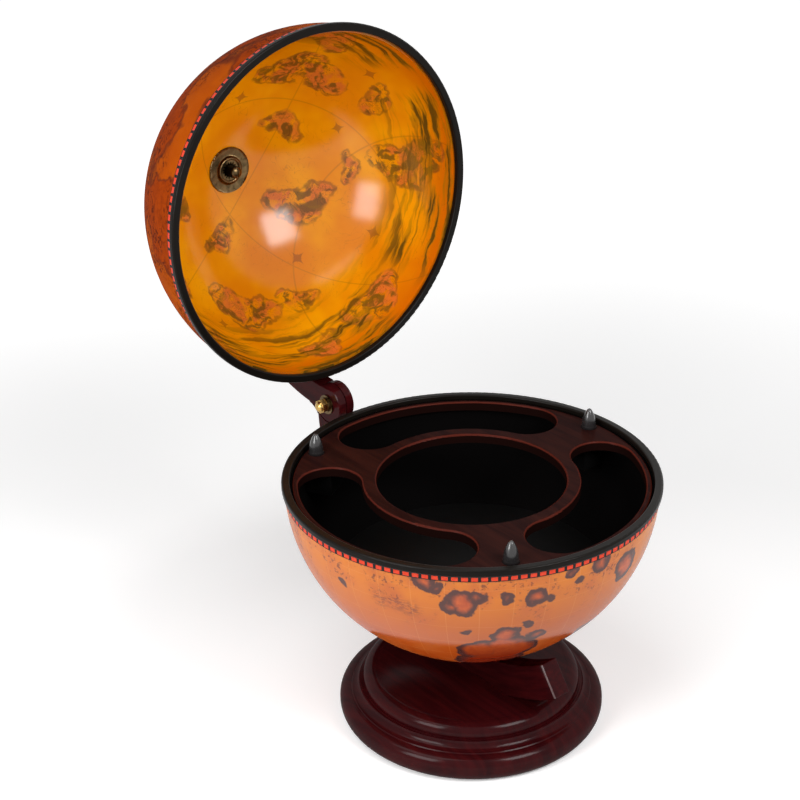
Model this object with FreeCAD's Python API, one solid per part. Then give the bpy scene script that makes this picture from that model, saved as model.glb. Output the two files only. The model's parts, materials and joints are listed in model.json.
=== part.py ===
"""Globe bar: a hinged wooden globe on a half-meridian arm and a turned base.

Millimetres. The origin is the centre of the base's underside, +Z is up, and the hinge is at the rear, +Y.
The globe stands open, as it rests on the stop of its hinge.
"""
import FreeCAD, Part

import math
import os

from FreeCAD import Vector

# Globe halves
globe_radius = 165.0
shell_wall = 7.0
rim_gap = 0.5
ring_height = 6.0
ring_overhang = 2.0
ring_inner_step = 1.5
ring_edge_radius = 1.6
border_height = 5.0
border_thickness = 0.5
glue_line = 0.1

# Half-meridian arms
pole_angle = 90.0
arm_gap = 13.0
arm_width = 18.0
lower_arm_depth = 32.0
upper_arm_depth = 25.0
arm_edge_chamfer = 0.8
lower_arm_overrun = 34.4
upper_arm_overrun = 7.0
upper_arm_flare_angle = 8.0

# Hinge
open_angle = 90.0
hinge_inset = 16.0
knuckle_radius = 19.0
knuckle_clearance = 0.5
stop_gap = 0.2
lap_gap = 1.0
drill_overrun = 1.0
hinge_bolt_radius = 4.0
hinge_head_radius = 7.0
hinge_head_height = 4.5
hinge_lap_washer_radius = 14.0
hinge_washer_radius = 9.5
hinge_washer_thickness = 1.5
hinge_boss_radius = 7.2
hinge_boss_height = 2.5

# Pole fittings
pivot_radius = 4.0
thread_radius = 3.0
running_clearance = 0.08
fixed_clearance = 0.04
end_clearance = 0.1
bush_radius = 6.0
bush_length = 32.0
bolt_head_radius = 5.6
bolt_head_height = 4.2
bolt_slot_width = 1.4
bolt_slot_depth = 1.6
collar_foot_radius = 13.0
collar_neck_radius = 9.0
rosette_radius = 22.5
rosette_thickness = 2.0
hub_radius = 13.0
hub_wall = 2.6
hub_height = 2.8
star_thickness = 1.4
star_tooth_count = 16
star_tooth_depth = 1.8
washer_radius = 8.6
washer_thickness = 1.2
nut_washer_radius = 6.4
nut_width = 10.0
nut_height = 5.0
dome_height = 4.0
thread_stand = 1.5
counterbore_radius = 7.0
counterbore_depth = 13.0

# Tray, pegs and floor inside the bowl
tray_drop = 4.4
tray_thickness = 9.0
tray_edge_radius = 2.0
well_radius = 83.7
well_rim_width = 12.5
tray_rim_width = 4.8
spoke_width = 44.0
spoke_count = 3
peg_inset = 10.0
peg_radius = 7.5
peg_height = 21.0
peg_shank_height = 3.0
peg_tip_radius = 3.0
peg_tip_angle = 30.0
dowel_radius = 3.0
dowel_depth = 20.0
block_width = 30.0
block_length = 30.0
block_height = 24.0
floor_depth_share = 0.6
floor_thickness = 8.0

# Base
base_height = 43.5
base_arm_depth = 9.5
felt_thickness = 2.0
felt_radius = 112.0
top_radius = 88.0
bead_radius = 100.0
bead_bottom = 33.0
fillet_step = 1.5
cove_radius = 110.5
cove_bottom = 24.8
torus_radius = 122.0
torus_middle = 13.0
foot_radius = 117.5
screw_spacing = 64.0
screw_radius = 2.5
screw_head_radius = 5.0
screw_head_height = 3.0
screw_grip = 14.0

# Sizes that follow from those above
inner_radius = globe_radius - shell_wall
half_gap = rim_gap / 2
rim_drop = half_gap + ring_height
arm_inner = globe_radius + arm_gap
lower_outer = arm_inner + lower_arm_depth
upper_outer = arm_inner + upper_arm_depth
half_width = arm_width / 2
hinge_y = arm_inner + hinge_inset
washer_seat = math.sqrt(arm_inner ** 2 - washer_radius ** 2) - fixed_clearance
washer_face = washer_seat - washer_thickness
bush_foot = washer_face - end_clearance
bush_end = bush_foot - bush_length
tray_bottom = tray_drop + tray_thickness
tray_radius = math.sqrt(inner_radius ** 2 - tray_bottom ** 2) - glue_line
slot_inner_radius = well_radius + well_rim_width
slot_outer_radius = tray_radius - tray_rim_width
floor_depth = floor_depth_share * globe_radius
globe_height = base_height - base_arm_depth + lower_outer

ORIGIN = Vector(0, 0, 0)
X_AXIS = Vector(1, 0, 0)
Z_AXIS = Vector(0, 0, 1)
HINGE = Vector(0, hinge_y, 0)


def solid_of(shape):
    """The single solid of a shape, with its split faces joined again."""
    return shape.removeSplitter().Solids[0]


def line(start, end):
    return Part.LineSegment(start, end).toShape()


def arc(start, middle, end):
    return Part.Arc(start, middle, end).toShape()


def crown(radius, foot, rise):
    """The arc of a dome about the Z axis, from the circle of its foot to its top."""
    sphere = (radius ** 2 + rise ** 2) / (2 * rise)
    half_angle = math.atan2(radius, sphere - rise) / 2
    top = foot + rise
    shoulder = Vector(sphere * math.sin(half_angle), 0, top - sphere * (1 - math.cos(half_angle)))
    return arc(Vector(radius, 0, foot), shoulder, Vector(0, 0, top))


def turned(edges):
    """A solid of revolution about Z from the edges of a closed profile in the XZ plane."""
    return Part.Face(Part.Wire(edges)).revolve(ORIGIN, Z_AXIS, 360)


def turned_steps(points):
    """A solid of revolution from straight steps, given as radius and height."""
    corners = [Vector(radius, 0, height) for radius, height in points]
    return Part.Face(Part.makePolygon(corners + corners[:1])).revolve(ORIGIN, Z_AXIS, 360)


def rod(radius, low, high):
    """A round bar on the Z axis between two heights."""
    return Part.makeCylinder(radius, high - low, Vector(0, 0, low))


def tube(outer, inner, low, high):
    return rod(outer, low, high).cut(rod(inner, low, high))


def cross_rod(radius, low, high):
    """A round bar along X on the hinge's axis."""
    return Part.makeCylinder(radius, high - low, HINGE + Vector(low, 0, 0), X_AXIS)


def cross_tube(outer, inner, low, high):
    return cross_rod(outer, low, high).cut(cross_rod(inner, low, high))


def on_arc(radius, degrees):
    """A point of the arm's plane, at an angle up from the hinge's side of the globe."""
    angle = math.radians(degrees)
    return Vector(0, radius * math.cos(angle), radius * math.sin(angle))


def turned_over(shape):
    """The lid's piece that mirrors one of the bowl."""
    return shape.rotated(ORIGIN, X_AXIS, 180)


def opened(shape):
    """A piece of the lid, swung open about the hinge."""
    return shape.rotated(HINGE, X_AXIS, -open_angle)


def raised(shape):
    """A piece placed about the globe's centre, lifted to its height above the table."""
    return shape.translated(Vector(0, 0, globe_height))


# Shells, rim rings and border bands


def half_shell():
    """The lower half of the globe, cut level under its rim ring and bored for the pole bush."""
    outer_rim = Vector(math.sqrt(globe_radius ** 2 - rim_drop ** 2), 0, -rim_drop)
    inner_rim = Vector(math.sqrt(inner_radius ** 2 - rim_drop ** 2), 0, -rim_drop)
    outer_pole = Vector(0, 0, -globe_radius)
    inner_pole = Vector(0, 0, -inner_radius)
    slant = math.sqrt(0.5)
    wall = turned([
        line(inner_rim, outer_rim),
        arc(outer_rim, Vector(globe_radius * slant, 0, -globe_radius * slant), outer_pole),
        line(outer_pole, inner_pole),
        arc(inner_pole, Vector(inner_radius * slant, 0, -inner_radius * slant), inner_rim),
    ])
    return wall.cut(rod(bush_radius + fixed_clearance, -globe_radius, 0))


def rim_ring():
    """A rounded hoop glued on the cut rim of a shell."""
    outer = globe_radius + ring_overhang
    inner = inner_radius + ring_inner_step
    ring = tube(outer, inner, -rim_drop, -half_gap)
    return solid_of(ring.makeFillet(ring_edge_radius, ring.Edges))


def border_band():
    """A printed strip glued round the outside of a shell, under its rim ring."""
    seat = globe_radius + glue_line
    face = seat + border_thickness
    low = -rim_drop - border_height
    middle = -rim_drop - border_height / 2

    def at(radius, height):
        return Vector(math.sqrt(radius ** 2 - height ** 2), 0, height)

    return turned([
        line(at(seat, -rim_drop), at(face, -rim_drop)),
        arc(at(face, -rim_drop), at(face, middle), at(face, low)),
        line(at(face, low), at(seat, low)),
        arc(at(seat, low), at(seat, middle), at(seat, -rim_drop)),
    ])


# Pole fittings, built for the bowl's pole on the downward axis


def pole_collar():
    """A turned spacer between shell and arm, hollowed to sit on the globe."""
    top = 1 - globe_radius
    collar = turned_steps([
        (bush_radius + fixed_clearance, -bush_foot),
        (collar_neck_radius, -bush_foot),
        (collar_neck_radius, -bush_foot + arm_gap / 3),
        (collar_foot_radius, top),
        (bush_radius + fixed_clearance, top),
    ])
    return solid_of(collar.cut(Part.makeSphere(globe_radius + glue_line)))


def pole_bush():
    return tube(bush_radius, pivot_radius + running_clearance, -bush_foot, -bush_end)


def pole_rosette():
    """A dished plate on the inside of the shell, with a flat hub and a raised ring."""
    seat = inner_radius - glue_line
    face = seat - rosette_thickness
    hub_floor = math.sqrt(face ** 2 - hub_radius ** 2)
    dish = Part.makeSphere(seat).cut(Part.makeSphere(face))
    dish = dish.common(rod(rosette_radius, -globe_radius, 0))
    hub = rod(hub_radius, -face, hub_height - hub_floor)
    hub = hub.cut(rod(hub_radius - hub_wall, -hub_floor, 0))
    plate = dish.fuse(hub)
    return solid_of(plate.cut(rod(bush_radius + fixed_clearance, -globe_radius, 0)))


def star_washer():
    """A washer with inward teeth, laid in the rosette's hub around the bush."""
    face = inner_radius - glue_line - rosette_thickness
    low = -math.sqrt(face ** 2 - hub_radius ** 2)
    high = low + star_thickness
    tip = bush_radius + fixed_clearance
    root = tip + star_tooth_depth
    step = math.radians(360 / star_tooth_count)
    points = []
    for tooth in range(star_tooth_count):
        angle = tooth * step
        points.append(Vector(tip * math.cos(angle), tip * math.sin(angle), low))
        points.append(Vector(root * math.cos(angle + step / 2), root * math.sin(angle + step / 2), low))
    hole = Part.Face(Part.makePolygon(points + points[:1])).extrude(Vector(0, 0, star_thickness))
    rim = hub_radius - hub_wall - fixed_clearance
    return solid_of(rod(rim, low, high).cut(hole))


def pivot_bolt(thread_end):
    """A shoulder bolt from inside the globe, with a slotted domed head, to the end of its thread."""
    head_seat = -bush_end + end_clearance
    shoulder = -washer_face
    top = head_seat + bolt_head_height
    flank = head_seat + bolt_head_height / 2
    bolt = turned([
        line(Vector(0, 0, -thread_end), Vector(thread_radius, 0, -thread_end)),
        line(Vector(thread_radius, 0, -thread_end), Vector(thread_radius, 0, shoulder)),
        line(Vector(thread_radius, 0, shoulder), Vector(pivot_radius, 0, shoulder)),
        line(Vector(pivot_radius, 0, shoulder), Vector(pivot_radius, 0, head_seat)),
        line(Vector(pivot_radius, 0, head_seat), Vector(bolt_head_radius, 0, head_seat)),
        line(Vector(bolt_head_radius, 0, head_seat), Vector(bolt_head_radius, 0, flank)),
        crown(bolt_head_radius, flank, top - flank),
        line(Vector(0, 0, top), Vector(0, 0, -thread_end)),
    ])
    slot_length = 2 * bolt_head_radius + 1
    slot = Part.makeBox(bolt_slot_width, slot_length, bolt_slot_depth + 1)
    slot.translate(Vector(-bolt_slot_width / 2, -slot_length / 2, top - bolt_slot_depth))
    return solid_of(bolt.cut(slot))


def running_washer():
    """A washer across the arm's hollow face, clamped under the shoulder of the bolt."""
    return tube(washer_radius, thread_radius + fixed_clearance, -washer_seat, -washer_face)


def hexagon(width, low, high):
    """A hexagonal bar on the Z axis, by its width across flats."""
    corner = width / math.sqrt(3)
    points = [Vector(corner * math.cos(math.radians(60 * k)), corner * math.sin(math.radians(60 * k)), low)
              for k in range(6)]
    return Part.Face(Part.makePolygon(points + points[:1])).extrude(Vector(0, 0, high - low))


def domed_nut(width, height, dome, bore_radius, bore_depth):
    """A cap nut standing on Z = 0 with its dome upwards."""
    dome_foot = width / 2 - 0.3
    cap = turned([
        line(Vector(0, 0, 0), Vector(dome_foot, 0, 0)),
        line(Vector(dome_foot, 0, 0), Vector(dome_foot, 0, height)),
        crown(dome_foot, height, dome),
        line(Vector(0, 0, height + dome), Vector(0, 0, 0)),
    ])
    nut = hexagon(width, 0, height).fuse(cap)
    return solid_of(nut.cut(rod(bore_radius, 0, bore_depth)))


# Arms and their half-lap hinge


def eased_section(depth):
    """An arm's cross-section with eased corners, lying level at the hinge's side of the globe."""
    side = half_width
    narrow = half_width - arm_edge_chamfer
    low = arm_inner
    high = arm_inner + depth
    low_edge = low + arm_edge_chamfer
    high_edge = high - arm_edge_chamfer
    corners = [(-narrow, low), (narrow, low), (side, low_edge), (side, high_edge),
               (narrow, high), (-narrow, high), (-side, high_edge), (-side, low_edge), (-narrow, low)]
    return Part.Face(Part.makePolygon([Vector(x, y, 0) for x, y in corners]))


def arm_bar(depth, start, end):
    """A bar of the arm's section, swept about the globe's centre between two angles."""
    section = eased_section(depth).rotated(ORIGIN, X_AXIS, start)
    return section.revolve(ORIGIN, X_AXIS, end - start)


def arm_prism(edges):
    """A flat outline in the arm's plane, as thick as the arm."""
    return Part.Face(Part.Wire(edges)).extrude(Vector(arm_width, 0, 0)).translated(Vector(-half_width, 0, 0))


def mitre_wedge(angle, drop):
    """The wedge outside the hinge that an arm loses to its mitred stop."""
    reach = 4 * lower_arm_depth
    apex = HINGE - Vector(0, 0, drop)
    slope = apex + Vector(0, reach * math.cos(math.radians(angle)), reach * math.sin(math.radians(angle)))
    level = apex + Vector(0, reach, drop)
    return arm_prism([line(apex, slope), line(slope, level), line(level, apex)])


def mitre_corner(outer, angle):
    """The point where a line from the hinge's axis, at an angle to Y, meets a radius of the globe."""
    along = math.cos(math.radians(angle))
    reach = -hinge_y * along + math.sqrt((hinge_y * along) ** 2 + outer ** 2 - hinge_y ** 2)
    return HINGE + Vector(0, reach * along, reach * math.sin(math.radians(angle)))


def knuckle(low, high):
    """The round end of a half lap."""
    disc = cross_rod(knuckle_radius, low, high)
    rims = [edge for edge in disc.Edges if edge.BoundBox.XLength < arm_edge_chamfer / 2]
    outside = [edge for edge in rims if abs(edge.BoundBox.Center.x) > half_width / 2]
    return disc.makeChamfer(arm_edge_chamfer, outside)


def lap_pocket(low, high):
    """The space cut from one half of an arm for the other arm's round end."""
    return cross_rod(knuckle_radius + knuckle_clearance, low, high)


def flare():
    """The outer side of the upper arm by the hinge, where it widens in a hollow curve to its stop."""
    corner = mitre_corner(lower_outer, open_angle / 2)
    tangent_end = on_arc(upper_outer, upper_arm_flare_angle)
    outward = on_arc(1, upper_arm_flare_angle)
    chord = corner - tangent_end
    radius = chord.dot(chord) / (2 * outward.dot(chord))
    centre = tangent_end + outward * radius
    half_way = (corner + tangent_end) * 0.5 - centre
    middle = centre + half_way * (radius / half_way.Length)
    return arm_prism([line(HINGE, corner), arc(corner, middle, tangent_end), line(tangent_end, HINGE)])


def lower_arm():
    """The arm under the bowl; its half of the lap is on the +X side."""
    arm = arm_bar(lower_arm_depth, -pole_angle - lower_arm_overrun, 0)
    arm = arm.cut(mitre_wedge(-open_angle / 2, stop_gap))
    arm = arm.cut(lap_pocket(-arm_width, lap_gap / 2))
    arm = arm.fuse(knuckle(lap_gap / 2, half_width))
    arm = arm.cut(cross_rod(hinge_bolt_radius + fixed_clearance, -arm_width, arm_width))
    arm = arm.cut(rod(thread_radius + fixed_clearance, -lower_outer - drill_overrun, -arm_inner + drill_overrun))
    arm = arm.cut(rod(counterbore_radius, -lower_outer - drill_overrun, counterbore_depth - lower_outer))
    for side in (-1, 1):
        pilot = base_screw_shank(screw_radius + fixed_clearance, side)
        arm = arm.cut(pilot.translated(Vector(0, 0, -globe_height)))
    return solid_of(arm)


def upper_arm():
    """The arm behind the lid, in the closed position; its half of the lap is on the -X side."""
    arm = arm_bar(upper_arm_depth, 0, pole_angle + upper_arm_overrun)
    arm = arm.cut(mitre_wedge(open_angle / 2, 0)).fuse(flare())
    arm = arm.cut(lap_pocket(-lap_gap / 2, arm_width))
    arm = arm.fuse(knuckle(-half_width, -lap_gap / 2))
    arm = arm.cut(cross_rod(hinge_bolt_radius + running_clearance, -arm_width, arm_width))
    arm = arm.cut(rod(thread_radius + fixed_clearance, arm_inner - drill_overrun, upper_outer + drill_overrun))
    return solid_of(arm)


# Tray, pegs and floor


def spoke_angle(index):
    return 360 / spoke_count * index


def kidney_slot():
    """The cutter of one slot with round ends, centred on the X axis."""
    end_radius = (slot_outer_radius - slot_inner_radius) / 2
    middle_radius = (slot_outer_radius + slot_inner_radius) / 2
    reach = 180 / spoke_count - math.degrees((spoke_width / 2 + end_radius) / middle_radius)

    def at(radius, degrees):
        angle = math.radians(degrees)
        return Vector(radius * math.cos(angle), radius * math.sin(angle), 0)

    def end_tip(side):
        angle = math.radians(side * reach)
        onward = Vector(-math.sin(angle), math.cos(angle), 0)
        return at(middle_radius, side * reach) + onward * side * end_radius

    outline = Part.Wire([
        arc(at(slot_outer_radius, -reach), at(slot_outer_radius, 0), at(slot_outer_radius, reach)),
        arc(at(slot_outer_radius, reach), end_tip(1), at(slot_inner_radius, reach)),
        arc(at(slot_inner_radius, reach), at(slot_inner_radius, 0), at(slot_inner_radius, -reach)),
        arc(at(slot_inner_radius, -reach), end_tip(-1), at(slot_outer_radius, -reach)),
    ])
    return Part.Face(outline).extrude(Vector(0, 0, tray_thickness)).translated(Vector(0, 0, -tray_bottom))


def peg_place(index):
    """The foot of a guide peg, on the tray's top over a spoke."""
    angle = math.radians(spoke_angle(index))
    radius = tray_radius - peg_inset
    return Vector(radius * math.cos(angle), radius * math.sin(angle), -tray_drop)


def dowel_hole(index):
    foot = peg_place(index) - Vector(0, 0, dowel_depth)
    return Part.makeCylinder(dowel_radius + fixed_clearance, dowel_depth, foot)


def tray_board():
    """The board inside the rim, with its bottle well, kidney slots and peg holes."""
    board = rod(tray_radius, -tray_bottom, -tray_drop)
    board = board.cut(rod(well_radius, -tray_bottom, -tray_drop))
    slot = kidney_slot()
    for index in range(spoke_count):
        board = board.cut(slot.rotated(ORIGIN, Z_AXIS, spoke_angle(index) + 180 / spoke_count))
    top_edges = [edge for edge in board.Edges if edge.BoundBox.ZMin > -tray_drop - tray_thickness / 4]
    board = board.makeFillet(tray_edge_radius, top_edges)
    for index in range(spoke_count):
        board = board.cut(dowel_hole(index))
    return solid_of(board)


def guide_peg(index):
    """A bullet-shaped peg with a dowel that pins the tray to its block."""
    shank = Vector(peg_radius, 0, peg_shank_height)
    tip_angle = math.radians(peg_tip_angle)
    tip_drop = peg_tip_radius * (1 - math.sin(tip_angle))
    tip = Vector(peg_tip_radius * math.cos(tip_angle), 0, peg_height - tip_drop)
    inward = shank.x - tip.x
    upward = tip.z - shank.z
    side_radius = (inward ** 2 + upward ** 2) / (2 * inward)
    half_sweep = math.asin(upward / side_radius) / 2
    belly = shank + Vector(-side_radius * (1 - math.cos(half_sweep)), 0, side_radius * math.sin(half_sweep))
    peg = turned([
        line(Vector(0, 0, -dowel_depth), Vector(dowel_radius, 0, -dowel_depth)),
        line(Vector(dowel_radius, 0, -dowel_depth), Vector(dowel_radius, 0, 0)),
        line(Vector(dowel_radius, 0, 0), Vector(peg_radius, 0, 0)),
        line(Vector(peg_radius, 0, 0), shank),
        arc(shank, belly, tip),
        crown(tip.x, tip.z, peg_height - tip.z),
        line(Vector(0, 0, peg_height), Vector(0, 0, -dowel_depth)),
    ])
    return peg.translated(peg_place(index))


def tray_block(index):
    """A block glued to the bowl's wall under one spoke of the tray."""
    block = Part.makeBox(block_length, block_width, block_height)
    block.translate(Vector(tray_radius - block_length, -block_width / 2, -tray_bottom - block_height))
    block = block.common(Part.makeSphere(inner_radius - glue_line))
    block = block.rotated(ORIGIN, Z_AXIS, spoke_angle(index))
    return solid_of(block.cut(dowel_hole(index)))


def floor_disc():
    """A round floor with its edge turned to the bowl's curve."""
    blank = rod(inner_radius, -floor_depth - floor_thickness, -floor_depth)
    return solid_of(blank.common(Part.makeSphere(inner_radius - glue_line)))


# Base


def base_screw_shank(radius, side):
    """The shank of one base screw, from its head up into the arm."""
    reach = math.sqrt(lower_outer ** 2 - (screw_spacing / 2) ** 2)
    length = globe_height - reach + screw_grip - felt_thickness
    return Part.makeCylinder(radius, length, Vector(0, side * screw_spacing / 2, felt_thickness))


def base_screw(side, clearance):
    """One countersunk screw, or its hole where a clearance is given."""
    head = Part.makeCone(screw_head_radius + clearance, screw_radius + clearance, screw_head_height)
    head.translate(Vector(0, side * screw_spacing / 2, felt_thickness))
    return solid_of(base_screw_shank(screw_radius + clearance, side).fuse(head))


def base_disc():
    """The turned base: top, shoulder bead, two fillets, cove, torus and foot."""
    def at(radius, height):
        return Vector(radius, 0, height)

    second_step = bead_radius + 2 * fillet_step
    second_drop = bead_bottom - fillet_step
    torus_top = at(cove_radius + fillet_step / 2, cove_bottom - fillet_step / 2)

    def bulge(start, end, along, down):
        """A point between two corners of the profile, by its shares of the way out and down."""
        return at(start.x + along * (end.x - start.x), start.z + down * (end.z - start.z))

    bead_bulge = bulge(at(top_radius, base_height), at(bead_radius, bead_bottom), 0.8, 0.28)
    cove_hollow = bulge(at(second_step, second_drop), at(cove_radius, cove_bottom), 0.3, 0.72)
    upper_bulge = bulge(torus_top, at(torus_radius, torus_middle), 0.73, 0.28)
    lower_bulge = bulge(at(torus_radius, torus_middle), at(foot_radius, felt_thickness), 0.27, 0.62)
    body = turned([
        line(at(0, felt_thickness), at(0, base_height)),
        line(at(0, base_height), at(top_radius, base_height)),
        arc(at(top_radius, base_height), bead_bulge, at(bead_radius, bead_bottom)),
        line(at(bead_radius, bead_bottom), at(bead_radius + fillet_step, bead_bottom)),
        line(at(bead_radius + fillet_step, bead_bottom), at(bead_radius + fillet_step, second_drop)),
        line(at(bead_radius + fillet_step, second_drop), at(second_step, second_drop)),
        arc(at(second_step, second_drop), cove_hollow, at(cove_radius, cove_bottom)),
        line(at(cove_radius, cove_bottom), torus_top),
        arc(torus_top, upper_bulge, at(torus_radius, torus_middle)),
        arc(at(torus_radius, torus_middle), lower_bulge, at(foot_radius, felt_thickness)),
        line(at(foot_radius, felt_thickness), at(0, felt_thickness)),
    ])
    groove_reach = Vector(-half_width - glue_line, 0, globe_height)
    groove = Part.makeCylinder(lower_outer + glue_line, arm_width + 2 * glue_line, groove_reach, X_AXIS)
    body = body.cut(groove)
    for side in (-1, 1):
        body = body.cut(base_screw(side, fixed_clearance))
    return solid_of(body)


def base_felt():
    return rod(felt_radius, 0, felt_thickness)


# Assembly

lap_half = lap_gap / 2 - fixed_clearance
near_face = -half_width - fixed_clearance
boss_face = near_face - hinge_washer_thickness
nut_face = boss_face - hinge_boss_height
head_face = half_width + hinge_washer_thickness
bolt_tip = nut_face - nut_height
dome_bore = nut_height + thread_stand
lower_nut_seat = lower_outer - counterbore_depth


def hinge_bolt():
    """The hinge's bolt with its round head on the +X side."""
    head = cross_rod(hinge_head_radius, head_face, head_face + hinge_head_height)
    far_rim = [edge for edge in head.Edges if edge.BoundBox.XMin > head_face + hinge_head_height / 2]
    head = head.makeFillet(hinge_head_height / 2, far_rim)
    return solid_of(cross_rod(hinge_bolt_radius, bolt_tip, head_face).fuse(head))


def hinge_dome_nut():
    """The cap nut on the hinge's near end, with its dome towards -X."""
    nut = domed_nut(2 * hinge_bolt_radius + 4, nut_height, dome_height, hinge_bolt_radius + fixed_clearance,
                    nut_height + fixed_clearance)
    nut = nut.rotated(ORIGIN, Vector(0, 1, 0), -90)
    return nut.translated(HINGE + Vector(nut_face, 0, 0))


def hinge_washer(radius, low, high):
    return cross_tube(radius, hinge_bolt_radius + fixed_clearance, low, high)


def lid_dome_nut():
    """The cap nut that holds the lid's bolt, outside the upper arm."""
    nut = domed_nut(nut_width, nut_height, dome_height, thread_radius + fixed_clearance, dome_bore)
    return nut.translated(Vector(0, 0, upper_outer + washer_thickness))


def bowl_pivot_nut():
    """The plain nut in the counterbore under the lower arm."""
    low = -lower_nut_seat - washer_thickness - nut_height
    nut = hexagon(nut_width, low, low + nut_height)
    return solid_of(nut.cut(rod(thread_radius + fixed_clearance, low, low + nut_height)))


def nut_washer(low):
    return tube(nut_washer_radius, thread_radius + fixed_clearance, low, low + washer_thickness)


lower_thread_end = lower_nut_seat + washer_thickness + nut_height + thread_stand
upper_thread_end = upper_outer + washer_thickness + nut_height

stand = {
    "lower_arm": lower_arm(),
    "bowl_pivot_bolt": pivot_bolt(lower_thread_end),
    "bowl_pivot_washer": running_washer(),
    "bowl_nut_washer": nut_washer(-lower_nut_seat - washer_thickness),
    "bowl_pivot_nut": bowl_pivot_nut(),
    "hinge_bolt": hinge_bolt(),
    "hinge_far_washer": hinge_washer(hinge_washer_radius, half_width, head_face),
    "hinge_lap_washer": hinge_washer(hinge_lap_washer_radius, -lap_half, lap_half),
    "hinge_near_washer": hinge_washer(hinge_washer_radius, boss_face, near_face),
    "hinge_boss": hinge_washer(hinge_boss_radius, nut_face, boss_face),
    "hinge_dome_nut": hinge_dome_nut(),
}

bowl = {
    "bowl_shell": half_shell(),
    "bowl_rim_ring": rim_ring(),
    "bowl_border_band": border_band(),
    "bowl_collar": pole_collar(),
    "bowl_bush": pole_bush(),
    "bowl_rosette": pole_rosette(),
    "bowl_star_washer": star_washer(),
    "tray_board": tray_board(),
    "tray_blocks": Part.makeCompound([tray_block(index) for index in range(spoke_count)]),
    "floor_disc": floor_disc(),
}
for index in range(spoke_count):
    bowl["guide_peg_" + str(index + 1)] = guide_peg(index)

lid = {
    "lid_shell": turned_over(half_shell()),
    "lid_rim_ring": turned_over(rim_ring()),
    "lid_border_band": turned_over(border_band()),
    "lid_collar": turned_over(pole_collar()),
    "lid_bush": turned_over(pole_bush()),
    "lid_rosette": turned_over(pole_rosette()),
    "lid_star_washer": turned_over(star_washer()),
}

lid_arm = {
    "upper_arm": upper_arm(),
    "lid_pivot_bolt": turned_over(pivot_bolt(upper_thread_end)),
    "lid_pivot_washer": turned_over(running_washer()),
    "lid_nut_washer": nut_washer(upper_outer),
    "lid_dome_nut": lid_dome_nut(),
}

parts = {
    "base_felt": base_felt(),
    "base_disc": base_disc(),
    "base_screws": Part.makeCompound([base_screw(side, 0) for side in (-1, 1)]),
}
for name, shape in list(stand.items()) + list(bowl.items()):
    parts[name] = raised(shape)
for name, shape in list(lid.items()) + list(lid_arm.items()):
    parts[name] = raised(opened(shape))

os.makedirs("parts", exist_ok=True)
for name, shape in parts.items():
    shape.exportStep("parts/" + name + ".step")
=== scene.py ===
import json
import math

import bpy
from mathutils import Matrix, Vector


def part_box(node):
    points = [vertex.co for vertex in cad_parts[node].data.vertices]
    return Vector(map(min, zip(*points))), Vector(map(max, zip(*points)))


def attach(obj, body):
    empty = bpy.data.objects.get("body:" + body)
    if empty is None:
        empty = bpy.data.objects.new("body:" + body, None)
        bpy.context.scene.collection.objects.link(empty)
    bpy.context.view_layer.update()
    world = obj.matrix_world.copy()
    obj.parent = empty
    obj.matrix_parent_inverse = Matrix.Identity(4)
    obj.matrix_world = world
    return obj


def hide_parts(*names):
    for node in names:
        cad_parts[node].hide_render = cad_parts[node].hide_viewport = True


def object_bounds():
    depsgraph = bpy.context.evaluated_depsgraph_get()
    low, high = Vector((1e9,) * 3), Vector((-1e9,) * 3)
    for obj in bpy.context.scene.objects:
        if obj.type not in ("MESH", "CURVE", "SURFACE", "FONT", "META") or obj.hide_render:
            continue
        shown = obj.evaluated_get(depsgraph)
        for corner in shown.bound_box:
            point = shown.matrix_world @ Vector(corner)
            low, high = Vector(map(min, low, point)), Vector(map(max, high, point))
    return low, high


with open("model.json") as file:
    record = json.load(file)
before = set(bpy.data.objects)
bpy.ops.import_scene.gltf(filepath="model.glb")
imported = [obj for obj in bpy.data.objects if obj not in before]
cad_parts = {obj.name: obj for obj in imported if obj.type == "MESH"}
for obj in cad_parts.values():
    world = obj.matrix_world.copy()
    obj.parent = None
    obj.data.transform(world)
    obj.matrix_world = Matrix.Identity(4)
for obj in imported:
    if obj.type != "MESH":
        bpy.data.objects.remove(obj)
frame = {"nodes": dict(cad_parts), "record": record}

cad_box = [list(corner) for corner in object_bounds()]

# Turned base. A disc of stained hardwood, turned with a flat top, bead, cove and heavy torus, then
# sprayed with a dark red-brown lacquer that is rubbed to a soft gloss.
# Its grain is straight and hardly shows through the stain.


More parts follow.
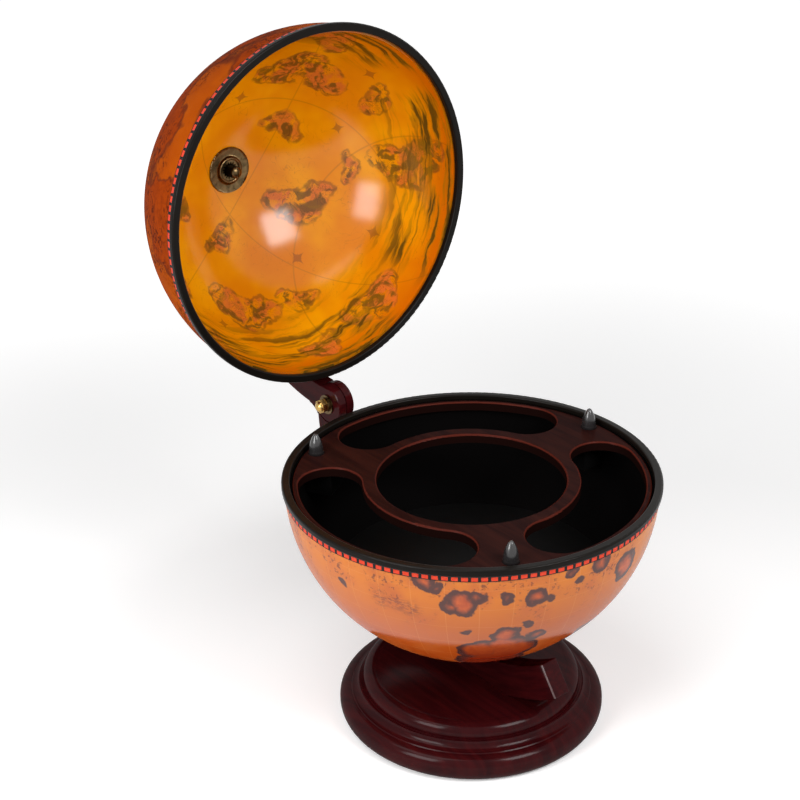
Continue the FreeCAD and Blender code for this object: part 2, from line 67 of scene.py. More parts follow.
class Shade:
    """A value in a material: sums on it add Math nodes, and node() adds any other node."""

    def __init__(self, tree, socket=None):
        self.tree = tree
        self.socket = socket

    def node(self, kind, settings=None, sockets=None, output=0):
        """Adds a node, sets it up, and fills its sockets with values or with other shades."""
        made = self.tree.nodes.new("ShaderNode" + kind)
        for name, value in (settings or {}).items():
            setattr(made, name, value)
        for key, value in (sockets or {}).items():
            if isinstance(value, Shade):
                self.tree.links.new(value.socket, made.inputs[key])
            else:
                made.inputs[key].default_value = value
        return Shade(self.tree, made.outputs[output])

    def maths(self, operation, first, second=0.0):
        return self.node("Math", {"operation": operation}, {0: first, 1: second})

    def __add__(self, other):
        return self.maths("ADD", self, other)

    def __radd__(self, other):
        return self.maths("ADD", other, self)

    def __sub__(self, other):
        return self.maths("SUBTRACT", self, other)

    def __rsub__(self, other):
        return self.maths("SUBTRACT", other, self)

    def __mul__(self, other):
        return self.maths("MULTIPLY", self, other)

    def __rmul__(self, other):
        return self.maths("MULTIPLY", other, self)

    def __truediv__(self, other):
        return self.maths("DIVIDE", self, other)

    def __rtruediv__(self, other):
        return self.maths("DIVIDE", other, self)

    def __abs__(self):
        return self.maths("ABSOLUTE", self)

    def between(self, low, high):
        """Rises smoothly from 0 at low to 1 at high, or falls where low is the greater."""
        ends = {"Value": self, "From Min": low, "From Max": high}
        return self.node("MapRange", {"interpolation_type": "SMOOTHSTEP"}, ends)

    def tint(self, under, over):
        """The colour under where this is 0, and the colour over where it is 1."""
        return self.node("Mix", {"data_type": "RGBA"}, {0: self, 6: under, 7: over}, 2)

    def feed(self, key):
        """Links this to a socket of the material's surface."""
        self.tree.links.new(self.socket, self.tree.nodes["Principled BSDF"].inputs[key])


def new_finish(name, sockets):
    """A material with its even values set, and the place on a piece to work its pattern out from."""
    material = bpy.data.materials.new(name)
    material.use_nodes = True
    surface = material.node_tree.nodes["Principled BSDF"]
    for key, value in sockets.items():
        surface.inputs[key].default_value = value
    return material, Shade(material.node_tree).node("TexCoord", output="Object")


def colour(red, green, blue):
    """A colour as seen on a screen, from 0 to 255, as the light values that a material takes."""
    parts = [value / 255 for value in (red, green, blue)]
    light = [part / 12.92 if part < 0.04 else ((part + 0.055) / 1.055) ** 2.4 for part in parts]
    return (*light, 1.0)


def mottle(place, scale, detail=2.0, distortion=0.0):
    """An even, cloudy pattern with that many spots to the metre."""
    return place.node("TexNoise", None, {
        "Vector": place, "Scale": scale, "Detail": detail, "Distortion": distortion})


def stretched(place, scale):
    """A place drawn out so that a pattern on it becomes streaks."""
    return place.node("Mapping", None, {"Vector": place, "Scale": scale})


def dress(material, *nodes):
    """Puts a material on pieces that keep their CAD shape."""
    for name in nodes:
        for material_slot in frame["nodes"][name].material_slots:
            material_slot.material = material


mahogany_dark = colour(38, 6, 9)
mahogany_red = colour(58, 11, 13)
mahogany_gloss = {"Roughness": 0.5, "Coat Roughness": 0.16, "Specular IOR Level": 0.0}
base_coat = 0.17
base_lacquer, place = new_finish("mahogany base lacquer", mahogany_gloss | {"Coat Weight": base_coat})
streaks = mottle(stretched(place, (160, 14, 40)), 1.0, 4.0, 0.4)
streaks.between(0.2, 0.85).tint(mahogany_dark, mahogany_red).feed("Base Color")
dress(base_lacquer, "base_disc")

# Felt and its screws. A disc of green felt is glued under the base so that it doesn't scratch a table,
# and two plated screws are driven from below into the arm.

felt_green, place = new_finish("green felt", {"Roughness": 0.95, "Specular IOR Level": 0.1})
mottle(place, 900, 2.0).tint(colour(30, 52, 36), colour(52, 78, 56)).feed("Base Color")
dress(felt_green, "base_felt")

zinc, place = new_finish("zinc plate", {"Metallic": 1.0, "Base Color": colour(176, 178, 180)})
(mottle(place, 300, 3.0) * 0.25 + 0.25).feed("Roughness")
dress(zinc, "base_screws", "bowl_pivot_washer", "bowl_nut_washer", "bowl_pivot_nut", "lid_pivot_washer")

# Lower and upper arm. Two curved bars of the same stained hardwood, sawn along the grain, with eased
# edges; they lap half over each other at the hinge, and the lower one is let into the base.
# One edge of the lower arm's front end is rubbed to a shine.

joint_places = {joint["name"]: joint["pos_m"] for joint in frame["record"]["behaviour"]["joints"]}
bowl_centre = joint_places["bowl_spin"]
lid_centre = joint_places["lid_spin"]
globe_radius = bowl_centre[2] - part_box("bowl_shell")[0][2]


def from_centre(place, centre):
    """The place seen from the centre of a half globe."""
    return place.node("VectorMath", {"operation": "SUBTRACT"}, {0: place, 1: centre})


def axes(place):
    """The three numbers of a place."""
    split = place.node("SeparateXYZ", None, {0: place})
    outputs = split.socket.node.outputs
    return [Shade(place.tree, output) for output in outputs]


def turn_about(place, across, along):
    """The angle round an axis, in turns from 0 to 1."""
    return place.maths("ARCTAN2", along, across) / math.tau + 0.5


def bundle(x, y, z):
    """Three numbers as one place."""
    return x.node("CombineXYZ", None, {0: x, 1: y, 2: z})


def length(place):
    """How far a place is from the middle it is seen from."""
    return place.node("VectorMath", {"operation": "LENGTH"}, {0: place}, "Value")


arm_gap = 0.013
arm_inner_radius = globe_radius + arm_gap
arm_coat = 0.2
for node, centre in (("lower_arm", bowl_centre), ("upper_arm", lid_centre)):
    arm_lacquer, place = new_finish("mahogany " + node.replace("_", " "), mahogany_gloss)
    across, y, z = axes(from_centre(place, centre))
    radius = length(bundle(across * 0, y, z))
    grain_place = bundle(across * 160, radius * 220, turn_about(place, y, z) * 40)
    grain = mottle(grain_place, 1.0, 4.0, 0.3).between(0.2, 0.85)
    grain.tint(mahogany_dark, mahogany_red).feed("Base Color")
    (radius.between(arm_inner_radius + 0.0002, arm_inner_radius + 0.001) * arm_coat).feed("Coat Weight")
    dress(arm_lacquer, node)


def joined_copy(node, name, work_on="EDGE"):
    """A copy of a piece with its loose triangles joined, ready for its edges or corners to be worked on."""
    join_gap = 0.00002
    bpy.ops.object.select_all(action="DESELECT")
    frame["nodes"][node].select_set(True)
    bpy.context.view_layer.objects.active = frame["nodes"][node]
    bpy.ops.object.duplicate()
    copy = bpy.context.object
    copy.name = name
    bpy.ops.object.mode_set(mode="EDIT")
    bpy.ops.mesh.select_mode(type=work_on)
    bpy.ops.mesh.select_all(action="SELECT")
    bpy.ops.mesh.remove_doubles(threshold=join_gap)
    bpy.ops.mesh.select_all(action="DESELECT")
    bpy.ops.object.mode_set(mode="OBJECT")
    return copy


def ease_edges(piece, chosen, ease, segments, finish=-1):
    """Rounds the edges between two chosen corners, and may give them another finish."""
    for edge in piece.data.edges:
        edge.select = all(chosen[corner] for corner in edge.vertices)
    bpy.ops.object.mode_set(mode="EDIT")
    bpy.ops.mesh.bevel(offset=ease, segments=segments, affect="EDGES", material=finish)
    bpy.ops.object.mode_set(mode="OBJECT")
    bpy.ops.object.shade_smooth_by_angle(angle=math.radians(25))


end_ease = 0.0011
end_slack = 0.0005
flat_slack = math.radians(0.5)
eased_arm = joined_copy("lower_arm", "lower_arm_eased")
bpy.ops.object.mode_set(mode="EDIT")
bpy.ops.mesh.select_all(action="SELECT")
bpy.ops.mesh.dissolve_limited(angle_limit=flat_slack)
bpy.ops.mesh.select_all(action="DESELECT")
bpy.ops.object.mode_set(mode="OBJECT")
turns_round = [math.atan2(corner.co.z - bowl_centre[2], corner.co.y) for corner in eased_arm.data.vertices]
end_turn = min(turns_round)
at_the_end = [turn < end_turn + end_slack for turn in turns_round]
rubbed_edge, _ = new_finish("rubbed mahogany edge", {
    "Base Color": mahogany_red, "Roughness": 0.4, "Specular IOR Level": 0.5,
    "Coat Weight": 1.0, "Coat Roughness": 0.16})
eased_arm.data.materials.append(rubbed_edge)
ease_edges(eased_arm, at_the_end, end_ease, 3, 1)
left_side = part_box("lower_arm")[0][0]
for face in eased_arm.data.polygons:
    if face.center.x > left_side + end_ease:
        face.material_index = 0
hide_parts("lower_arm")
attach(eased_arm, "stand")

# Bowl. A half globe of pressed board, its outside covered with printed paper gores of an old world map
# under gloss lacquer and its inside sprayed black. The land shapes are free ones, without names.

skin_depth = 0.0035
wall_middle = globe_radius - skin_depth
wall_slack = 0.0002
lands = (
    (-135, 12, 4.4), (-139, 13.5, 2.6), (-130.5, 10, 2.4), (-122, 10.5, 1.9), (-113.5, 11.2, 3.2),
    (-109, 12, 1.2), (-121.5, 27, 4.6), (-129, 36, 6.4), (-117.5, 38, 8.0), (-111, 29.5, 2.6),
    (-114.8, 22.4, 1.4), (-134, 24, 1.1), (-121, 33, 6.0), (-124, 47, 10.0), (-146, 4.5, 3.2),
    (-142.5, 6.5, 1.8), (-80, 12, 4.8), (-92.5, 5.5, 3.0), (-103, 5, 2.0), (-99, 9.5, 1.0),
    (-174, 14, 1.2), (158, 21, 1.6), (60, 4, 16), (66, 20, 10), (72, 30, 6), (84, 18, 4),
    (0, 8, 14), (5, 22, 10), (9, 36, 6), (10, 46, 4), (-60, 15, 1.5), (-48, 12, 1.2), (-40, 20, 1.0),
    (-86, 38, 3), (-89, 44, 2.4), (120, 6, 11), (108, 12, 5), (40, 82, 12),
)
smear_spots = ((-160, 15, 0.05), (-155, 15, 0.06), (-150, 16, 0.05))


def bearing(azimuth, depth):
    """The direction, from a half globe's centre, of a point at a depth in degrees below the rim."""
    azimuth = math.radians(azimuth)
    depth = math.radians(depth)
    return (math.cos(depth) * math.cos(azimuth), math.cos(depth) * math.sin(azimuth), -math.sin(depth))


def globe_wall(place, centre):
    """The place seen from a half globe's centre, its direction, and 1 on the outside of the wall."""
    outward = from_centre(place, centre)
    direction = place.node("VectorMath", {"operation": "NORMALIZE"}, {0: outward})
    return outward, direction, length(outward).between(wall_middle - wall_slack, wall_middle)


def greater(first, second):
    """The greater of two values, or the second where there is no first."""
    return second if first is None else first.maths("MAXIMUM", first, second)


def wander(place, scale, amount):
    """The place pushed about by a cloudy pattern, so that an outline on it becomes ragged."""
    cloud = place.node("TexNoise", None, {"Vector": place, "Scale": scale, "Detail": 4.0}, "Color")
    push = place.node("VectorMath", {"operation": "MULTIPLY_ADD"}, {
        0: cloud, 1: (amount, amount, amount), 2: (-amount / 2, -amount / 2, -amount / 2)})
    return place.node("VectorMath", {"operation": "ADD"}, {0: place, 1: push})


def ruled(turns, count, width):
    """Thin lines, that many to the turn; width is a share of the space between them."""
    spaces = turns * count
    return abs(spaces.maths("FRACT", spaces) - 0.5).between(0.5 - width, 0.5)


def inside_spots(place, spots):
    """How far a place is inside any of some round spots, given by direction and half width."""
    deepest = None
    for direction, half_width in spots:
        gap = place.node("VectorMath", {"operation": "DISTANCE"}, {0: place, 1: direction}, "Value")
        deepest = greater(deepest, half_width - gap)
    return deepest


lacquered_paper = {"Roughness": 0.5, "Coat Roughness": 0.15, "Coat IOR": 1.6, "Specular IOR Level": 0.0}
paper_coat = 0.55
black_inside = colour(9, 8, 8)
bowl_map, place = new_finish("old map on the bowl", lacquered_paper)
outward, direction, outside = globe_wall(place, bowl_centre)
x, y, z = axes(outward)
ragged = wander(wander(direction, 10.0, 0.09), 45.0, 0.018)
land = inside_spots(ragged, [(bearing(azimuth, down), math.radians(size)) for azimuth, down, size in lands])
depth = abs(z) / globe_radius
turns = turn_about(place, x, y)
# The sea is darker towards the bottom of the bowl.
sea = depth.between(0.0, 0.75).tint(colour(204, 114, 26), colour(170, 68, 18))
sea = mottle(direction, 5.0, 4.0).between(0.4, 0.75).tint(sea, colour(180, 88, 34))
upper_sea = depth.between(0.5, 0.12)
speck_patch = mottle(direction, 5.0, 1.0).between(0.42, 0.54)
specks = mottle(direction, 46.0, 4.0, 0.6).between(0.57, 0.66) * speck_patch
sea = (specks * upper_sea * 0.8).tint(sea, colour(104, 50, 26))
smear_place = stretched(wander(direction, 20.0, 0.05), (60, 60, 160))
smear = inside_spots(ragged, [(bearing(azimuth, down), size) for azimuth, down, size in smear_spots])
smear = smear.between(-0.03, 0.05) * mottle(smear_place, 0.5, 3.0).between(0.4, 0.6)
sea = (smear * 0.8).tint(sea, colour(120, 58, 34))
lines = greater(ruled(turns, 36, 0.012), ruled(depth, 8, 0.012))
sea = (lines * 0.3).tint(sea, colour(226, 160, 84))
ground = mottle(direction, 26.0, 4.0, 0.8).tint(colour(150, 54, 26), colour(204, 96, 38))
# The land is darker towards the bottom of the bowl too.
ground = depth.between(0.45, 0.75).tint(ground, colour(126, 36, 14))
printed = land.between(-0.004, 0.004).tint(sea, ground)
coast = land.between(-0.012, -0.002) * land.between(0.055, 0.012)
coast = coast * mottle(direction, 30.0, 3.0).between(0.0, 0.42)
printed = (coast * 0.95).tint(printed, colour(66, 40, 38))
outside.tint(black_inside, printed).feed("Base Color")
(outside * paper_coat).feed("Coat Weight")
dress(bowl_map, "bowl_shell")

# Lid. The other half globe, printed like the bowl but redder outside; its inside has a second print of
# curled clouds, stars and waves in olive and salmon on gold. This ornament is a free one.

lid_map, place = new_finish("old map and cloud print on the lid", lacquered_paper)
outside_coat = 0.03
outward, direction, outside = globe_wall(place, lid_centre)
land = mottle(wander(direction, 8.0, 0.2), 2.1, 1.0) - 0.5
ground = mottle(direction, 22.0, 4.0, 1.0).tint(colour(112, 36, 4), colour(168, 66, 6))
sea = mottle(direction, 6.0, 4.0).tint(colour(142, 52, 3), colour(182, 84, 6))
printed = land.between(-0.004, 0.004).tint(sea, ground)
vein_patch = mottle(direction, 3.5, 1.0).between(0.4, 0.54)
veins = mottle(direction, 26.0, 4.0, 1.6).between(0.5, 0.62) * vein_patch
printed = (veins * 0.8).tint(printed, colour(72, 26, 10))
coast = 1 - abs(land).between(0.004, 0.03)
printed = (coast * 0.6).tint(printed, colour(80, 34, 20))

cloud_banks = (
    (-104, 40, 0.23, 20), (-30, 60, 0.2, 60), (2, 22, 0.24, 80), (56, 46, 0.26, -20), (-56, 17, 0.2, 10),
    (-76, 37, 0.12, 40), (32, 66, 0.13, -30), (70, 22, 0.2, 30), (-6, 45, 0.1, 0), (-112, 66, 0.12, -50),
    (28, 30, 0.13, 50), (-84, 14, 0.14, -10),
    (112, 40, 0.2, 10), (152, 28, 0.18, -30), (-150, 42, 0.18, 40), (-168, 64, 0.12, 0),
    (-128, 16, 0.12, 80),
)
puffs = ((-0.85, -0.05, 0.32), (-0.45, 0.14, 0.48), (0.05, 0.3, 0.6), (0.5, 0.05, 0.46), (0.9, -0.1, 0.28))
stars = ((-62, 48, 0.07), (16, 47, 0.06), (-32, 30, 0.07), (40, 26, 0.07), (-120, 30, 0.06), (84, 62, 0.07),
         (135, 62, 0.07), (-165, 30, 0.07))
circles = ((20, 35, 0.45), (-70, 62, 0.62), (-35, 12, 0.72), (140, 40, 0.5))
olive_ink = colour(88, 70, 18)
salmon = colour(204, 100, 44)


def lid_bearing(azimuth, depth):
    """The direction, from the lid's centre, of a point inside it, and two directions across that one."""
    azimuth = math.radians(azimuth)
    depth = math.radians(depth)
    out = math.cos(depth)
    towards = Vector((out * math.cos(azimuth), math.sin(depth), out * math.sin(azimuth)))
    level = Vector((-math.sin(azimuth), 0, math.cos(azimuth)))
    return towards, level, towards.cross(level)


def share_along(place, axis):
    """How much of a direction lies along an axis."""
    return place.node("VectorMath", {"operation": "DOT_PRODUCT"}, {0: place, 1: axis}, "Value")


drawn = wander(wander(direction, 6.0, 0.1), 22.0, 0.035)
puff_spots = []
for azimuth, down, size, turn in cloud_banks:
    towards, level, rise = lid_bearing(azimuth, down)
    turn = math.radians(turn)
    along = level * math.cos(turn) + rise * math.sin(turn)
    over = rise * math.cos(turn) - level * math.sin(turn)
    for step, lift, width in puffs:
        puff_spots.append(((towards + (along * step + over * lift) * size).normalized(), width * size))
cloud = inside_spots(drawn, puff_spots)
fill = cloud.between(-0.02, 0.024)
star_points = None
for azimuth, down, size in stars:
    towards, level, rise = lid_bearing(azimuth, down)
    for long_arm, turn in ((1.0, 0), (0.6, 45)):
        turn = math.radians(turn)
        first = abs(share_along(direction, level * math.cos(turn) + rise * math.sin(turn)))
        second = abs(share_along(direction, rise * math.cos(turn) - level * math.sin(turn)))
        spread = first.maths("SQRT", first) + second.maths("SQRT", second)
        edge = math.sqrt(size * long_arm)
        star_points = greater(star_points, spread.between(edge, edge * 0.9))
circle_lines = None
for azimuth, down, spread in circles:
    height = share_along(direction, lid_bearing(azimuth, down)[0])
    circle_lines = greater(circle_lines, abs(height - spread).between(0.005, 0.002))
depth = axes(outward)[1] / globe_radius
gold = mottle(direction, 2.4, 3.0).between(0.35, 0.7).tint(colour(220, 130, 0), colour(238, 162, 0))
gold = depth.between(0.4, 0.0).tint(gold, colour(194, 94, 0))
ink_wear = mottle(direction, 14.0, 3.0).between(0.32, 0.6)
scribbles = ruled(mottle(drawn, 5.0, 4.0, 0.8), 9, 0.05) * mottle(direction, 3.4, 1.0).between(0.48, 0.6)
inner = (scribbles * 0.3).tint(gold, colour(140, 70, 14))
inner = (circle_lines * 0.3).tint(inner, colour(140, 78, 16))
inner = (fill * mottle(drawn, 7.0, 3.0, 1.0).between(0.42, 0.58) * 0.75).tint(inner, salmon)
inner = (fill * mottle(drawn, 9.0, 4.0, 1.6).between(0.46, 0.58) * 0.8).tint(inner, olive_ink)
folds = ruled(mottle(drawn, 8.0, 3.0, 1.4), 13, 0.12) * fill
outline = abs(cloud).between(0.012, 0.004) * 0.6
inner = (greater(folds, outline) * ink_wear * 0.75).tint(inner, colour(84, 50, 18))
inner = (star_points * 0.6).tint(inner, colour(138, 72, 22))
wave_place = stretched(wander(direction, 4.0, 0.12), (2.4, 22, 2.4))
wave_patch = mottle(stretched(direction, (1.6, 0.6, 1.6)), 1.0, 1.0).between(0.34, 0.46)
wave_patch = wave_patch * depth.between(0.56, 0.26)
waves = mottle(wave_place, 1.0, 3.0, 0.4)
inner = (waves.between(0.44, 0.54) * wave_patch * 0.6).tint(inner, colour(146, 104, 8))
inner = (waves.between(0.53, 0.61) * wave_patch * 0.9).tint(inner, colour(74, 56, 12))
outside.tint(inner, printed).feed("Base Color")
(outside * (outside_coat - paper_coat) + paper_coat).feed("Coat Weight")
dress(lid_map, "lid_shell")

# Rims. A turned wooden ring closes the raw edge of each half globe and is glued over it.
# Both rings are lacquered black to a satin gloss.

ring_lacquer, place = new_finish("black ring lacquer", {"Roughness": 0.28, "Specular IOR Level": 0.08})
mottle(place, 60, 3.0).tint(colour(12, 10, 8), colour(22, 18, 15)).feed("Base Color")
dress(ring_lacquer, "bowl_rim_ring", "lid_rim_ring")

# Border strips. A narrow strip of printed paper runs round each half below its ring, with red blocks
# between black bars and a thin black line along both edges.

block_pitch = 0.00797
block_count = round(math.tau * globe_radius / block_pitch)
bar_share = 0.3
line_width = 0.0006
strip_coat = 0.3

for node, centre, upright in (("bowl_border_band", bowl_centre, 2), ("lid_border_band", lid_centre, 1)):
    strip_print, place = new_finish(node.replace("_", " "), lacquered_paper | {"Coat Weight": strip_coat})
    parts = axes(from_centre(place, centre))
    height = abs(parts.pop(upright))
    turns = turn_about(place, *parts)
    strip_low, strip_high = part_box(node)
    edges = sorted(abs(corner[upright] - centre[upright]) for corner in (strip_low, strip_high))
    blocks = turns * block_count
    bar_edge = 0.5 - bar_share / 2
    bars = abs(blocks.maths("FRACT", blocks) - 0.5).between(bar_edge - 0.03, bar_edge)
    near_edge = height.between(edges[0] + line_width * 1.4, edges[0] + line_width)
    far_edge = height.between(edges[1] - line_width * 1.4, edges[1] - line_width)
    ink = greater(bars, greater(near_edge, far_edge))
    red = mottle(place, 250, 2.0).tint(colour(200, 48, 24), colour(224, 68, 36))
    ink.tint(red, colour(14, 8, 8)).feed("Base Color")
    dress(strip_print, node)

# Tray, blocks and floor. A board with a round well and three kidney slots hangs in the bowl; its cut
# edges are rounded and stained a little redder, and a painted highlight makes them lighter still; the
# faces that don't face up, the cut walls and the underside, get painted shade. Blocks glued below
# carry it, and the floor is black.

tray_stain_and_painted_light, place = new_finish("tray stain", {
    "Roughness": 0.45, "Coat Weight": 0.05, "Coat Roughness": 0.25, "Specular IOR Level": 0.0})
facing = axes(Shade(place.tree).node("TexCoord", output="Normal"))[2]
streaks = mottle(stretched(place, (140, 14, 40)), 1.0, 4.0, 0.4)
board = streaks.between(0.25, 0.8).tint(colour(29, 12, 11), colour(45, 20, 16))
# Rounded edges, where the board turns from facing up: a redder stain, made lighter still as a painted
# highlight.
board = facing.between(0.98, 0.75).tint(board, colour(74, 28, 20))
# Painted shade: faces that don't face up, the cut walls and the underside, are darkened.
facing.between(0.4, 0.1).tint(board, colour(24, 10, 8)).feed("Base Color")
dress(tray_stain_and_painted_light, "tray_board")

black_paint, place = new_finish("black paint", {"Roughness": 0.45, "Specular IOR Level": 0.1})
mottle(place, 80, 2.0).tint(colour(5, 5, 5), colour(11, 10, 10)).feed("Base Color")
dress(black_paint, "tray_blocks", "floor_disc")

# Guide pegs. Three bullet-shaped pegs of black moulded plastic, tapered from the foot, stand in holes of
# the tray and lead the lid's rim to its place as it closes.

peg_gloss, place = new_finish("black peg", {
    "Roughness": 0.26, "Specular IOR Level": 0.5, "Coat Weight": 0.4, "Coat Roughness": 0.1})
mottle(place, 120, 2.0).tint(colour(30, 29, 30), colour(42, 40, 40)).feed("Base Color")

peg_taper = 0.86
peg_height = 0.9
foot_slack = 0.0008
tray_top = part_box("tray_board")[1][2]
for node in ("guide_peg_1", "guide_peg_2", "guide_peg_3"):
    dress(peg_gloss, node)
    peg = joined_copy(node, node + "_tapered", "VERT")
    low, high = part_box(node)
    foot = ((low[0] + high[0]) / 2, (low[1] + high[1]) / 2, tray_top)
    for corner in peg.data.vertices:
        corner.select = corner.co.z > tray_top + foot_slack
    bpy.ops.object.mode_set(mode="EDIT")
    bpy.ops.transform.resize(value=(peg_taper, peg_taper, peg_height), center_override=foot)
    bpy.ops.object.mode_set(mode="OBJECT")
    bpy.ops.object.shade_smooth_by_angle(angle=math.radians(40))
    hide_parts(node)
    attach(peg, "bowl")

# Pole fittings. A dished brass plate with a raised hub, a toothed washer and a slotted shoulder bolt
# hold each half at its pole; all are antiqued brown, and the hub's recess is painted black as shade.
# A turned wooden collar stands outside.

brass_dark = colour(84, 68, 45)
brass_pale = colour(124, 102, 70)
antique_brass, place = new_finish("antique brass", {"Metallic": 1.0})
tarnish = mottle(place, 220, 4.0, 0.5)
tarnish.between(0.3, 0.75).tint(brass_dark, brass_pale).feed("Base Color")
(tarnish * 0.2 + 0.2).feed("Roughness")
dress(antique_brass, "bowl_pivot_bolt", "lid_pivot_bolt", "lid_nut_washer", "hinge_near_washer",
      "hinge_boss", "bowl_star_washer", "lid_star_washer")

hub_ease = 0.0012
hub_radius = 0.013
hub_slack = 0.0002
eased_rosette = joined_copy("lid_rosette", "lid_rosette_eased")
hub_heights = {}
for corner in eased_rosette.data.vertices:
    out = math.hypot(corner.co.x - lid_centre[0], corner.co.z - lid_centre[2])
    if abs(out - hub_radius) < hub_slack:
        hub_heights[corner.index] = corner.co.y
hub_top = min(hub_heights.values()) + hub_slack
on_hub_edge = [hub_heights.get(corner.index, 1.0) < hub_top for corner in eased_rosette.data.vertices]
ease_edges(eased_rosette, on_hub_edge, hub_ease, 4)
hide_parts("lid_rosette")
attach(eased_rosette, "lid")

tooth_count = 16
tooth_tip = 0.0062
tooth_root = 0.0094
washer_low, washer_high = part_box("lid_star_washer")
washer_rim = (washer_high[0] - washer_low[0]) / 2
washer_middle = (lid_centre[0], washer_low[1], lid_centre[2])
bpy.ops.object.select_all(action="DESELECT")
bpy.ops.mesh.primitive_circle_add(vertices=2 * tooth_count, radius=washer_rim, fill_type="NOTHING",
                                  location=washer_middle, rotation=(math.radians(90), 0, 0))
star_washer = bpy.context.object
star_washer.name = "lid_star_washer_toothed"
bpy.ops.object.transform_apply(location=True, rotation=True, scale=True)
bpy.ops.object.mode_set(mode="EDIT")
bpy.ops.mesh.select_mode(type="VERT")
bpy.ops.mesh.select_all(action="SELECT")
bpy.ops.mesh.extrude_edges_move()
shrink = tooth_tip / washer_rim
bpy.ops.transform.resize(value=(shrink, 1, shrink), center_override=washer_middle)
bpy.ops.mesh.select_all(action="DESELECT")
bpy.ops.object.mode_set(mode="OBJECT")
for corner in star_washer.data.vertices:
    out, up = corner.co.x - lid_centre[0], corner.co.z - lid_centre[2]
    tooth = round((math.atan2(up, out) / math.tau) * 2 * tooth_count)
    corner.select = math.hypot(out, up) < washer_rim * 0.9 and tooth % 2 == 1
bpy.ops.object.mode_set(mode="EDIT")
spread = tooth_root / tooth_tip
bpy.ops.transform.resize(value=(spread, 1, spread), center_override=washer_middle)
bpy.ops.mesh.select_all(action="SELECT")
thickness = washer_high[1] - washer_low[1]
bpy.ops.mesh.extrude_region_move(TRANSFORM_OT_translate={"value": (0, thickness, 0)})
bpy.ops.mesh.select_all(action="SELECT")
bpy.ops.mesh.normals_make_consistent(inside=False)
bpy.ops.object.mode_set(mode="OBJECT")
star_washer.data.materials.append(antique_brass)
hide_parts("lid_star_washer")
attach(star_washer, "lid")

hub_recess = 0.0104
for node, centre, upright in (("bowl_rosette", bowl_centre, 2), ("lid_rosette", lid_centre, 1)):
    plate_brass, place = new_finish("antique brass " + node.replace("_", " "), {"Metallic": 1.0})
    parts = axes(from_centre(place, centre))
    height = parts.pop(upright)
    from_axis = length(bundle(*parts, height * 0))
    tarnish = mottle(place, 220, 4.0, 0.5)
    plate = tarnish.between(0.3, 0.75).tint(brass_dark, brass_pale)
    # Painted shade: the plate is black inside the hub's recess, where it shows between the washer's teeth.
    from_axis.between(hub_recess, hub_recess - 0.0003).tint(plate, colour(8, 7, 6)).feed("Base Color")
    (tarnish * 0.2 + 0.2).feed("Roughness")
    dress(plate_brass, node)
eased_rosette.data.materials[0] = plate_brass

blackened, place = new_finish("blackened bush", {"Metallic": 1.0, "Roughness": 0.5})
mottle(place, 200, 2.0).tint(colour(22, 18, 14), colour(38, 30, 22)).feed("Base Color")
dress(blackened, "bowl_bush", "lid_bush")
dress(base_lacquer, "bowl_collar", "lid_collar")

# Hinge hardware. A blackened bolt passes through both laps, with a fibre washer between them and a
# polished brass dome nut on the near side.

polished_brass, place = new_finish("polished brass", {"Metallic": 1.0})
smears = mottle(place, 300, 3.0)
smears.tint(colour(168, 132, 70), colour(200, 168, 104)).feed("Base Color")
(smears * 0.2 + 0.14).feed("Roughness")
dress(polished_brass, "hinge_dome_nut", "lid_dome_nut")

black_steel, place = new_finish("blackened steel", {"Metallic": 1.0, "Roughness": 0.38})
mottle(place, 200, 2.0).tint(colour(40, 36, 34), colour(60, 54, 50)).feed("Base Color")
dress(black_steel, "hinge_bolt", "hinge_far_washer")

fibre, place = new_finish("red fibre", {"Roughness": 0.7})
mottle(place, 400, 2.0).tint(colour(70, 26, 18), colour(90, 36, 24)).feed("Base Color")
dress(fibre, "hinge_lap_washer")

# Floor. A wide sheet of white card, which takes the shadow; to the eye, and in gloss, it is lifted to
# white, more so further out, where less of the light reaches it.


def shows_background(shade):
    """1 on the paths that show the background: straight to the eye, off gloss, or through glass."""
    shown = None
    for kind in ("Camera", "Glossy", "Transmission"):
        shown = greater(shown, shade.node("LightPath", output="Is " + kind + " Ray"))
    return shown


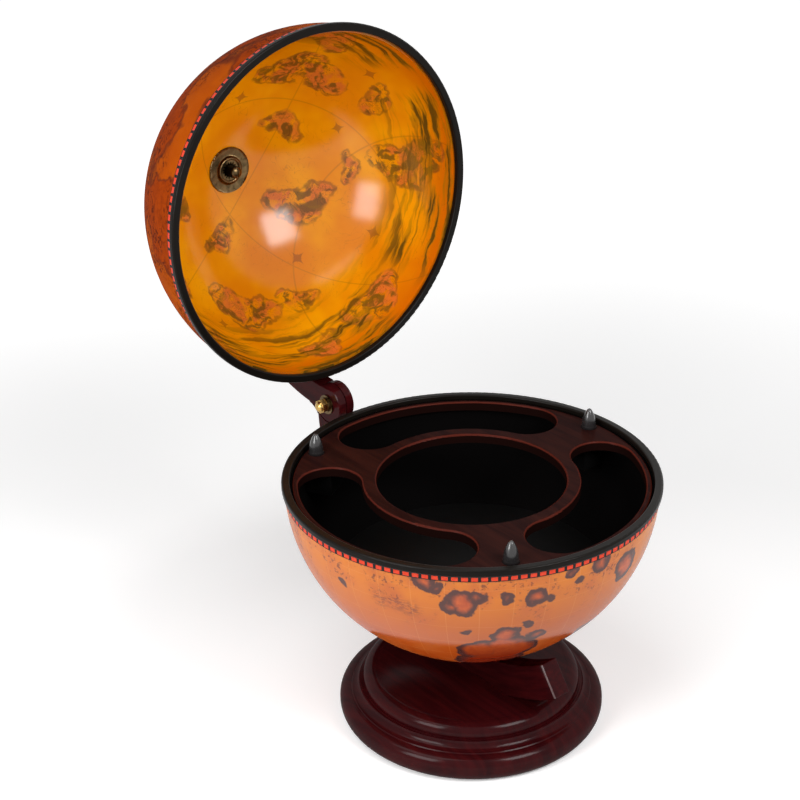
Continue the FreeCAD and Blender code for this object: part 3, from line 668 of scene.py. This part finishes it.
floor_size = 14.0
near_lift = 0.26
far_lift = 0.8
bpy.ops.object.select_all(action="DESELECT")
bpy.ops.mesh.primitive_plane_add(size=floor_size, location=(0, 0, cad_box[0][2]))
floor = bpy.context.object
floor.name = "floor"
white_card, place = new_finish("white card", {
    "Base Color": (0.9, 0.9, 0.9, 1), "Roughness": 0.9, "Specular IOR Level": 0.0,
    "Emission Strength": 1.0})
seen = shows_background(place)
away = length(place).between(0.5, 1.6)
lift = seen * (away * (far_lift - near_lift) + near_lift)
lift.tint((0, 0, 0, 1), (1, 1, 1, 1)).feed("Emission Color")
floor.data.materials.append(white_card)

# Light. Two soft boxes stand left and right of the camera, a wide one hangs overhead, and the walls of
# the room fill the shadows; behind the object, and in gloss, they are seen as white.

aim_height = 0.3
aim = Vector(((cad_box[0][0] + cad_box[1][0]) / 2, (cad_box[0][1] + cad_box[1][1]) / 2, aim_height))


def soft_box(name, place, size, power):
    """A square lamp that faces the middle of the object."""
    turn = (Vector(place) - aim).to_track_quat("Z", "Y").to_euler()
    bpy.ops.object.light_add(type="AREA", location=place, rotation=turn)
    lamp = bpy.context.object
    lamp.name = name
    lamp.visible_camera = False
    lamp.data.shape = "SQUARE"
    lamp.data.size = size
    lamp.data.energy = power


soft_box("right soft box", place=(0.08, -0.75, 0.90), size=0.42, power=8.0)
soft_box("left soft box", place=(-0.85, -0.08, 0.62), size=0.42, power=6.0)
soft_box("overhead soft box", place=(-0.67, 0.22, 2.18), size=1.4, power=18.0)

world = bpy.data.worlds.new("studio")
bpy.context.scene.world = world
world.use_nodes = True
wall_light = 0.2
background = world.node_tree.nodes["Background"]
background.inputs["Color"].default_value = (1, 1, 1, 1)
seen = shows_background(Shade(world.node_tree))
world.node_tree.links.new((seen * (1 - wall_light) + wall_light).socket, background.inputs["Strength"])

# Camera. It stands above the front left of the object and looks down at it through a long lens,
# where the photograph was taken from.

camera_place = (-0.895502, -0.977269, 0.946155)
camera_turn = (64.5247, 0.8482, -40.2374)
camera_lens = 76.7785
bpy.ops.object.camera_add(location=camera_place, rotation=[math.radians(angle) for angle in camera_turn])
camera = bpy.context.object
camera.data.sensor_width = 36.0
camera.data.lens = camera_lens
bpy.context.scene.camera = camera
bpy.context.scene.view_settings.view_transform = "Standard"
